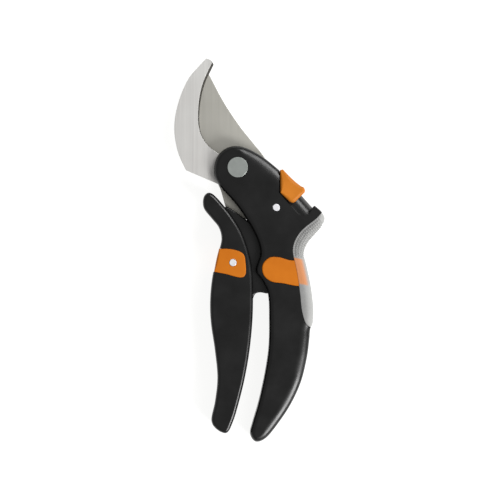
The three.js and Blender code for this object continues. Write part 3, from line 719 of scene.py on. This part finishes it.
warmed = add(pad_rubber, "ShaderNodeMix", {"data_type": "RGBA", 7: linear("c78455")},
             {0: warm.outputs["Fac"], 6: grey.outputs["Color"]})
# painted shade: the grooves and the line under the end block are painted darker, a third of the way to
# 70706e
sunk = add(pad_rubber, "ShaderNodeAttribute", {"attribute_name": "groove"})
painted_groove_shade = add(pad_rubber, "ShaderNodeMath", {"operation": "MULTIPLY", 1: 0.34},
                 {0: sunk.outputs["Fac"]})
pad_tone = add(pad_rubber, "ShaderNodeMix", {"data_type": "RGBA", 7: linear("70706e")},
               {0: painted_groove_shade.outputs[0], 6: warmed.outputs[2]})
pad_rubber.node_tree.links.new(pad_tone.outputs[2], pad_shader.inputs["Base Color"])
pad_grain = add(pad_rubber, "ShaderNodeTexNoise", {"Scale": 2500.0, "Detail": 2.0}, {"Vector": pad_place})
pad_bump = add(pad_rubber, "ShaderNodeBump", {"Strength": 0.3, "Distance": 0.02 * MM},
               {"Height": pad_grain.outputs["Fac"]})
pad_rubber.node_tree.links.new(pad_bump.outputs[0], pad_shader.inputs["Normal"])
smooth(pad, pad_rubber, angle=45)
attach(pad, "frame")
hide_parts("palm_pad")

# ---------------------------------------------------------------------------------------------
# The thumb lock: a saddle over the rail of the head's edge.
# Orange nylon, with a lip at its lower end for the thumb. It is pinned through the rail to a flat
# steel bolt inside the head, which stays as the plain part that it is.

slider_plan = from_lock(curve(
    [[27.7, 8.9], [31.7, 9.3], [35.4, 9.7], [37.3, 11.4], [37.2, 15], [37, 18]],
    [[37, 18], [36.7, 20.2], [34.6, 21.3], [32.5, 20.5], [28, 19.7], [23.6, 19.3], [18.4, 19.1]],
    [[18.4, 19.1], [17.6, 17.6]],
    [[17.6, 17.6], [27.7, 8.9]],
    step=0.5,
))
SLIDER_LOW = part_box("lock_slider")[0].z / MM
SLIDER_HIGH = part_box("lock_slider")[1].z / MM
slider = moulding("lock_slider_nylon", slider_plan, SLIDER_LOW, SLIDER_HIGH,
                  low_rim=(2.6, 1.7, 8), high_rim=(2.6, 1.7, 8))
rail_room = from_lock([[0, 0], [60, 0], [60, RAIL_N + 0.25], [0, RAIL_N + 0.25]])
combine(slider, [moulding("rail_room", rail_room, 3.75, THICK - 3.75)])
orange_nylon = moulded_plastic("orange_nylon", "ca7820", "bb6d19", 0.5, 0.4, 0.015, 0.22)
smooth(slider, orange_nylon)
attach(slider, "lock")
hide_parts("lock_slider")

# ---------------------------------------------------------------------------------------------
# The finger grip: a front and a back half in black nylon, on both sides of the lever core.
# A horn stands up at its top for the forefinger. The rims are rounded more tightly than the
# handle's, which gives the thin bright line along the inner edge.

grip_plan = curve(
    [[-11.1, -19], [-14.4, -15.8], [-16.8, -14.8], [-18.6, -15.5], [-19.9, -17.4], [-20.4, -20.6],
     [-19.5, -24.6], [-15.2, -30], [-11, -35.4], [-9.5, -42], [-11.2, -49.6], [-13.6, -58],
     [-15.4, -68], [-16.2, -80], [-15.6, -92], [-13.4, -107], [-11.9, -123], [-13.3, -137],
     [-15.3, -146.2], [-15, -150], [-13.3, -152.6], [-10.4, -154.8], [-7.2, -155.8], [-5.3, -154.6],
     [-3.7, -151.4], [-0.8, -143.1], [3.6, -126], [6.7, -109], [8.5, -92], [9, -77], [8.6, -62],
     [6.6, -50], [2.4, -38.1], [-3.7, -28.1], [-11.1, -19]],
)
grip_room_plan = curve(
    [[-12, -10], [-15.4, -17], [-16.2, -22]],
    [[-16.2, -22], [-13, -27.6], [-8.9, -34], [-7.4, -41], [-8.6, -48], [-10.9, -57], [-12.4, -66],
     [-12.6, -76], [-9.6, -84], [-2, -87.6], [5, -86], [9.6, -81.6]],
    [[9.6, -81.6], [OUT, -81.6]],
    [[OUT, -81.6], [OUT, -10]],
    [[OUT, -10], [-12, -10]],
    step=2,
)
grip_band_plan = curve(
    [[-13.9, -61.2], [-7.3, -62.4], [1.4, -64.5], [4.6, -62.6], [4.6, -56], [3.2, -50.6],
     [-3, -48], [-10.9, -47.6]],
    [[-10.9, -47.6], [-12.4, -53.6], [-13.9, -61.2]],
)
GRIP_RIM = (2.5, 2.2, 7)
BAND_WALL = 1.2


def band_core(wall):
    """What the band wraps round: everything inside its outer wall and its two cheeks."""
    inner_edge = np.array([[-10, -42], [-10.9, -47.6], [-12.4, -53.6], [-13.9, -61.2], [-15, -66]])
    plan = np.vstack([inner_edge + [wall, 0], [[OUT, -66], [OUT, -42]]])
    return moulding("band_core", plan, wall, THICK - wall)


def band_recess():
    """The recess of the halves, left round the core that the band is moulded on."""
    beyond = np.array([[-10.9, -47.5], [-12.4, -53.6], [-13.9, -61.3], [-40, -61.3], [-40, -47.5]])
    tool = moulding("band_recess", grown(grip_band_plan, 0.1), BELOW, ABOVE)
    combine(tool, [moulding("beyond", beyond, -4, 25)], "UNION")
    return combine(tool, [band_core(BAND_WALL + 0.1)])


for name, node, low, high, rims, screws in (
    ("grip_front_half", "grip_front_shell", PARTING + 0.04, THICK, (PARTING_RIM, GRIP_RIM), ()),
    ("grip_back_half", "grip_back_shell", 0, PARTING - 0.04, (GRIP_RIM, PARTING_RIM), GRIP_SCREWS),
):
    grip = moulding(name, grip_plan, low, high, low_rim=rims[0], high_rim=rims[1])
    combine(grip, [
        moulding("grip_room", grip_room_plan, LEVER_LOW - 0.3, LEVER_HIGH + 0.3),
        band_recess(),
        bore(GRIP_PIN, PIN_BORE_R),
        *(bore(place, *COUNTERBORE) for place in screws),
    ])
    smooth(grip, black_nylon)
    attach(grip, "finger_grip")
    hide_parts(node)

# ---------------------------------------------------------------------------------------------
# The orange band of the finger grip: one strap of soft rubber over both cheeks and the outer edge.
# It is moulded into a recess of both halves, and the bright pin goes through both its cheeks.

band_edge = curve([[-10.9, -47.6], [-12.4, -53.6], [-13.9, -61.2]], step=0.2)
from_edge = np.linalg.norm(grip_band_plan[:, None] - band_edge[None], axis=2).min(1)
along_edge = np.clip(1.5 - from_edge / 1.5, 0, 1)
band_rim = (0.7 + 1.6 * along_edge, 0.4 + 1.6 * along_edge, 6)
grip_band = moulding("grip_band_rubber", grip_band_plan, 0.02, THICK + 0.1,
                     low_rim=band_rim, high_rim=band_rim)
combine(grip_band, [band_core(BAND_WALL), bore(GRIP_PIN, 2.2)])
smooth(grip_band, orange_rubber)
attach(grip_band, "finger_grip")
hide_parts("grip_band")

# ---------------------------------------------------------------------------------------------
# Pivot bolt, pins and rivets.
# The pivot bolt is turned steel with a wide flat head, set a little into the head's face. The two
# pins are bright plated steel with domed ends; the rivets are hidden under the finger grip.

bolt_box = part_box("pivot_bolt")
bolt = moulding("pivot_bolt_turned", circle(PIVOT, 5.9, 96), THICK - 1.2, bolt_box[1].z / MM,
                high_rim=(0.2, 0.12, 3))
combine(bolt, [moulding("shaft", circle(PIVOT, 2.6, 48), bolt_box[0].z / MM, THICK)], "UNION")


def turned_steel(name, colour, shade, roughness):
    """Steel faced on a lathe: fine rings about the vertical axis through the origin."""
    material, shader = surface(name, {"Metallic": 1.0})
    place = add(material, "ShaderNodeTexCoord").outputs["Object"]
    rings = add(material, "ShaderNodeTexWave", {
        "wave_type": "RINGS", "rings_direction": "Z", "Scale": 420.0, "Distortion": 0.6,
        "Detail": 2.0,
    }, {"Vector": place})
    cloud = add(material, "ShaderNodeTexNoise", {"Scale": 150.0, "Detail": 2.0}, {"Vector": place})
    tone = add(material, "ShaderNodeValToRGB", links={"Fac": cloud.outputs["Fac"]})
    tone.color_ramp.elements[0].position = 0.35
    tone.color_ramp.elements[0].color = linear(shade)
    tone.color_ramp.elements[1].position = 0.65
    tone.color_ramp.elements[1].color = linear(colour)
    material.node_tree.links.new(tone.outputs["Color"], shader.inputs["Base Color"])
    rough = add(material, "ShaderNodeMapRange", {"To Min": roughness - 0.04, "To Max": roughness + 0.04},
                {"Value": rings.outputs["Fac"]})
    material.node_tree.links.new(rough.outputs[0], shader.inputs["Roughness"])
    bump = add(material, "ShaderNodeBump", {"Strength": 0.25, "Distance": 0.01 * MM},
               {"Height": rings.outputs["Fac"]})
    material.node_tree.links.new(bump.outputs[0], shader.inputs["Normal"])
    return material


pivot_steel = turned_steel("turned_passivated_steel", "b6bbb7", "adb2ae", 0.46)
smooth(bolt, pivot_steel)
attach(bolt, "frame")
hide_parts("pivot_bolt")

bright_steel = turned_steel("bright_plated_steel", "fafafc", "f0f0f4", 0.55)
for name, node, place, body in (
    ("hook_pin_plated", "hook_pin", HOOK_PIN, "frame"),
    ("grip_pin_plated", "grip_pin", GRIP_PIN, "finger_grip"),
):
    low, high = (corner.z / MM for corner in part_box(node))
    pin = moulding(name, circle(place, PIN_R, 48), low, high, low_rim=(0.3, 0.15, 3),
                   high_rim=(0.3, 0.15, 3))
    smooth(pin, bright_steel)
    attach(pin, body)
    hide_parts(node)

# ---------------------------------------------------------------------------------------------
# Screws in the back: blackened steel, with a low domed head and a six-sided recess.
# The heads lie sunk in the back halves, and the shafts hold in the front ones.

SCREW_HEAD_R, SCREW_SHAFT_R, SOCKET_R = 2.9, 1.4, 1.3
black_steel = turned_steel("blackened_steel", "3a3a3c", "2e2e30", 0.4)
for node, place, body in (
    *((f"body_screw_{k + 1}", place, "frame") for k, place in enumerate(BODY_SCREWS)),
    *((f"grip_screw_{k + 1}", place, "finger_grip") for k, place in enumerate(GRIP_SCREWS)),
):
    low, high = (corner.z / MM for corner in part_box(node))
    screw = moulding(node + "_turned", circle(place, SCREW_HEAD_R, 48), low, low + 2, low_rim=(0.8, 0.5, 4))
    combine(screw, [moulding("shaft", circle(place, SCREW_SHAFT_R, 24), low + 1, high)], "UNION")
    combine(screw, [moulding("socket", circle(place, SOCKET_R, 6), low - 2, low + 1.2)])
    smooth(screw, black_steel)
    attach(screw, body)
    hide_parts(node)

# ---------------------------------------------------------------------------------------------
# Small steel and brass pieces inside, which stay as they are and only get their finish:
# drawn and rolled strip and wire, the nut of the pivot, and the rivets of the tang.

spring_steel = turned_steel("drawn_spring_steel", "b0b0ae", "a0a09e", 0.35)
washer_brass = turned_steel("rolled_brass", "c9a35c", "b8924e", 0.35)
for node, finish in (
    ("pivot_nut", pivot_steel),
    ("hook_washer", washer_brass),
    ("back_washer", washer_brass),
    ("torsion_spring", spring_steel),
    ("lock_detent_spring", spring_steel),
    ("lock_bolt", spring_steel),
    ("lock_pin", spring_steel),
    ("tang_rivet_1", bright_steel),
    ("tang_rivet_2", bright_steel),
):
    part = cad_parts[node]
    part.data.materials.clear()
    part.data.materials.append(finish)
